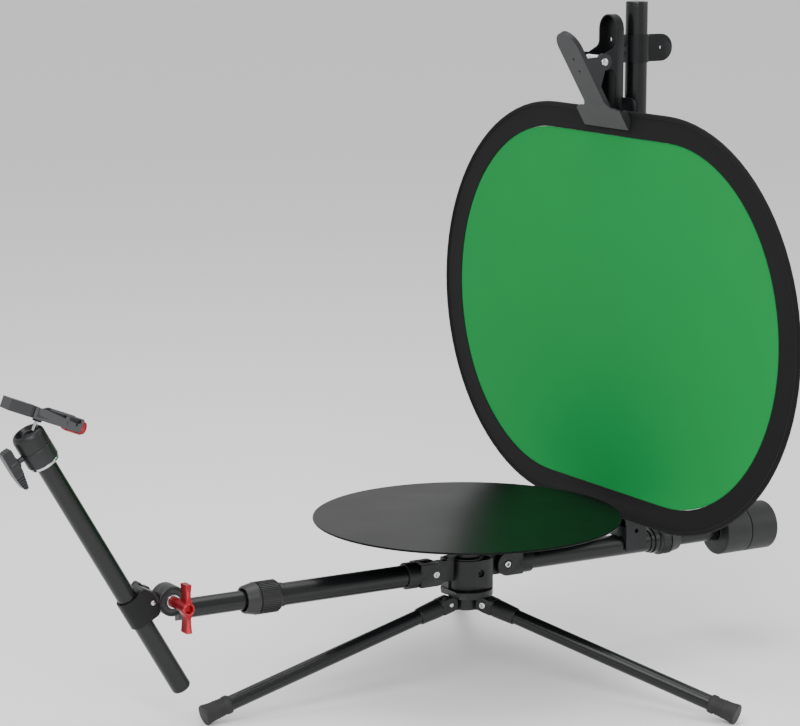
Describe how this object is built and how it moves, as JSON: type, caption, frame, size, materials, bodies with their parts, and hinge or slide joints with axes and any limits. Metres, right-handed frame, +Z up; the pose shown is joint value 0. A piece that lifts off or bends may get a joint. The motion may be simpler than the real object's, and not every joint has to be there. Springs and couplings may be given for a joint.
{
  "type": "orbiting_product_camera_stand",
  "caption": "Tabletop stand for filming a product from all sides: a fixed round platform, with a camera arm and a backdrop arm that turn around it on a three-leg base.",
  "frame": {"origin": "the middle of the bounding box's bottom face, on the surface the three feet stand on", "axes": "+Z is up along the spindle; +X runs along the arms from the camera to the counterweight; +Y completes the right-handed frame"},
  "size_m": [0.9754, 0.706, 0.7595],
  "materials": {
    "black_tube": "satin black anodised aluminium tube",
    "black_casting": "black powder-coated die casting",
    "black_plate": "smooth black painted steel disc",
    "black_rubber": "black moulded rubber and nylon",
    "black_steel": "black plated pressed steel sheet",
    "grey_alloy": "dark grey anodised aluminium",
    "silver_steel": "bright plated steel",
    "red_alloy": "red anodised aluminium",
    "iron_weight": "black painted cast iron",
    "green_cloth": "chroma green cotton cloth",
    "black_cloth": "black woven binding over a steel hoop"
  },
  "bodies": {
    "base": {"spider": "black_casting", "bearing_plate": "black_casting", "spindle": "silver_steel", "platform_column": "black_casting", "platform_disc": "black_plate"},
    "leg_1": {"leg_casting_1": "black_casting", "leg_tube_1": "black_tube", "leg_foot_1": "black_rubber", "leg_screw_1": "silver_steel"},
    "leg_2": {"leg_casting_2": "black_casting", "leg_tube_2": "black_tube", "leg_foot_2": "black_rubber", "leg_screw_2": "silver_steel"},
    "leg_3": {"leg_casting_3": "black_casting", "leg_tube_3": "black_tube", "leg_foot_3": "black_rubber", "leg_screw_3": "silver_steel"},
    "hub": {"hub_body": "black_casting", "hub_set_screw": "black_steel"},
    "left_arm": {"left_arm_casting": "black_casting", "left_outer_tube": "black_tube", "left_arm_screw": "silver_steel"},
    "left_collar": {"left_lock_collar": "black_rubber"},
    "left_inner": {"left_inner_tube": "black_tube", "arm_end_lug": "black_casting", "handle_washer": "silver_steel"},
    "handle": {"tension_handle": "red_alloy"},
    "camera_clamp": {"clamp_block": "black_casting", "pole_strap": "black_steel", "strap_bolt": "silver_steel"},
    "clamp_knob": {"strap_knob": "black_rubber"},
    "camera_mast": {"camera_pole": "black_tube", "head_base_ring": "silver_steel"},
    "head": {"head_housing": "black_casting"},
    "head_lock": {"head_knob": "grey_alloy"},
    "ball": {"ball_stem": "silver_steel"},
    "phone_clamp": {"phone_clamp_frame": "grey_alloy"},
    "phone_jaw": {"phone_clamp_jaw": "grey_alloy"},
    "phone_knob": {"phone_clamp_knob": "red_alloy"},
    "right_arm": {"right_arm_casting": "black_casting", "right_outer_tube": "black_tube", "right_arm_screw": "silver_steel", "pole_bracket": "black_steel", "fold_bolt": "black_steel"},
    "right_collar": {"right_lock_collar": "black_rubber"},
    "right_inner": {"right_inner_tube": "black_tube", "counterweight_inner": "iron_weight", "counterweight_outer": "iron_weight"},
    "socket": {"pole_socket": "black_casting"},
    "backdrop_mast": {"backdrop_pole": "black_tube"},
    "backdrop_carrier": {"band_front": "black_steel", "band_rear": "black_steel", "band_bolt": "black_steel", "clip_rear_arm": "black_steel", "clip_rivet": "silver_steel", "clip_spring": "silver_steel", "backdrop_border": "black_cloth", "backdrop_panel": "green_cloth"},
    "clip_lever": {"clip_front_arm": "black_steel"}
  },
  "joints": [
    {"name": "leg_1_fold", "type": "hinge", "parent": "base", "child": "leg_1", "pos_m": [0.04467, 0, 0.09352], "axis": [0, -1, 0], "range_deg": [0, 75]},
    {"name": "leg_2_fold", "type": "hinge", "parent": "base", "child": "leg_2", "pos_m": [0.08217, -0.02165, 0.09352], "axis": [0.866, 0.5, 0], "range_deg": [0, 75]},
    {"name": "leg_3_fold", "type": "hinge", "parent": "base", "child": "leg_3", "pos_m": [0.08217, 0.02165, 0.09352], "axis": [-0.866, 0.5, 0], "range_deg": [0, 75]},
    {"name": "orbit", "type": "hinge", "parent": "base", "child": "hub", "pos_m": [0.06967, 0, 0.13252], "axis": [0, 0, 1], "continuous": true},
    {"name": "left_arm_lift", "type": "hinge", "parent": "hub", "child": "left_arm", "pos_m": [0.02267, 0, 0.13252], "axis": [0, 1, 0], "range_deg": [0, 15]},
    {"name": "right_arm_lift", "type": "hinge", "parent": "hub", "child": "right_arm", "pos_m": [0.11667, 0, 0.13252], "axis": [0, -1, 0], "range_deg": [0, 15]},
    {"name": "left_arm_slide", "type": "slide", "parent": "left_arm", "child": "left_inner", "axis": [-1, 0, 0], "range_m": [-0.04, 0.08]},
    {"name": "left_collar_twist", "type": "hinge", "parent": "left_arm", "child": "left_collar", "pos_m": [-0.19233, 0, 0.13252], "axis": [-1, 0, 0], "range_deg": [0, 90]},
    {"name": "camera_tilt", "type": "hinge", "parent": "left_inner", "child": "camera_clamp", "pos_m": [-0.30133, 0, 0.14542], "axis": [0, 1, 0], "range_deg": [-30, 30]},
    {"name": "handle_turn", "type": "hinge", "parent": "left_inner", "child": "handle", "pos_m": [-0.30133, 0, 0.14542], "axis": [0, 1, 0], "range_deg": [0, 180]},
    {"name": "strap_knob_turn", "type": "hinge", "parent": "camera_clamp", "child": "clamp_knob", "pos_m": [-0.32579, 0, 0.14755], "axis": [0, 1, 0], "range_deg": [0, 180]},
    {"name": "camera_pole_slide", "type": "slide", "parent": "camera_clamp", "child": "camera_mast", "axis": [-0.5, 0, 0.866], "range_m": [0, 0.08]},
    {"name": "head_pan", "type": "hinge", "parent": "camera_mast", "child": "head", "pos_m": [-0.44743, 0, 0.32304], "axis": [-0.5, 0, 0.866], "continuous": true},
    {"name": "head_lock_turn", "type": "hinge", "parent": "head", "child": "head_lock", "pos_m": [-0.44793, 0, 0.32391], "axis": [-0.866, 0, -0.5], "range_deg": [0, 180]},
    {"name": "ball_tilt", "type": "hinge", "parent": "head", "child": "ball", "pos_m": [-0.45393, 0, 0.3343], "axis": [0, 1, 0], "range_deg": [-50, 26]},
    {"name": "phone_swivel", "type": "hinge", "parent": "ball", "child": "phone_clamp", "pos_m": [-0.45393, 0, 0.3343], "axis": [0.3746, 0, 0.9272], "continuous": true},
    {"name": "phone_jaw_slide", "type": "slide", "parent": "phone_clamp", "child": "phone_jaw", "axis": [-0.9272, 0, 0.3746], "range_m": [0, 0.025]},
    {"name": "phone_screw", "type": "hinge", "parent": "phone_clamp", "child": "phone_knob", "pos_m": [-0.41503, 0.0026, 0.34782], "axis": [-0.9272, 0, 0.3746], "range_deg": [0, 7200]},
    {"name": "right_arm_slide", "type": "slide", "parent": "right_arm", "child": "right_inner", "axis": [1, 0, 0], "range_m": [-0.04, 0.06]},
    {"name": "right_collar_twist", "type": "hinge", "parent": "right_arm", "child": "right_collar", "pos_m": [0.33167, 0, 0.13252], "axis": [1, 0, 0], "range_deg": [0, 90]},
    {"name": "mast_fold", "type": "hinge", "parent": "right_arm", "child": "socket", "pos_m": [0.29117, 0, 0.16852], "axis": [0, 1, 0], "range_deg": [0, 75]},
    {"name": "mast_turn", "type": "hinge", "parent": "socket", "child": "backdrop_mast", "pos_m": [0.29117, 0, 0.19252], "axis": [0, 0, 1], "range_deg": [-10, 10]},
    {"name": "band_slide", "type": "slide", "parent": "backdrop_mast", "child": "backdrop_carrier", "axis": [0, 0, 1], "range_m": [-0.02, 0.03]},
    {"name": "clip_open", "type": "hinge", "parent": "backdrop_carrier", "child": "clip_lever", "pos_m": [0.23467, 0, 0.69452], "axis": [0, 1, 0], "range_deg": [0, 20], "stiffness_Nm_per_rad": 1.5, "springref_deg": -20.05}
  ],
  "couplings": [
    {"joint": "phone_screw", "follows": "phone_jaw_slide", "rad_per_m": 5026.5}
  ]
}
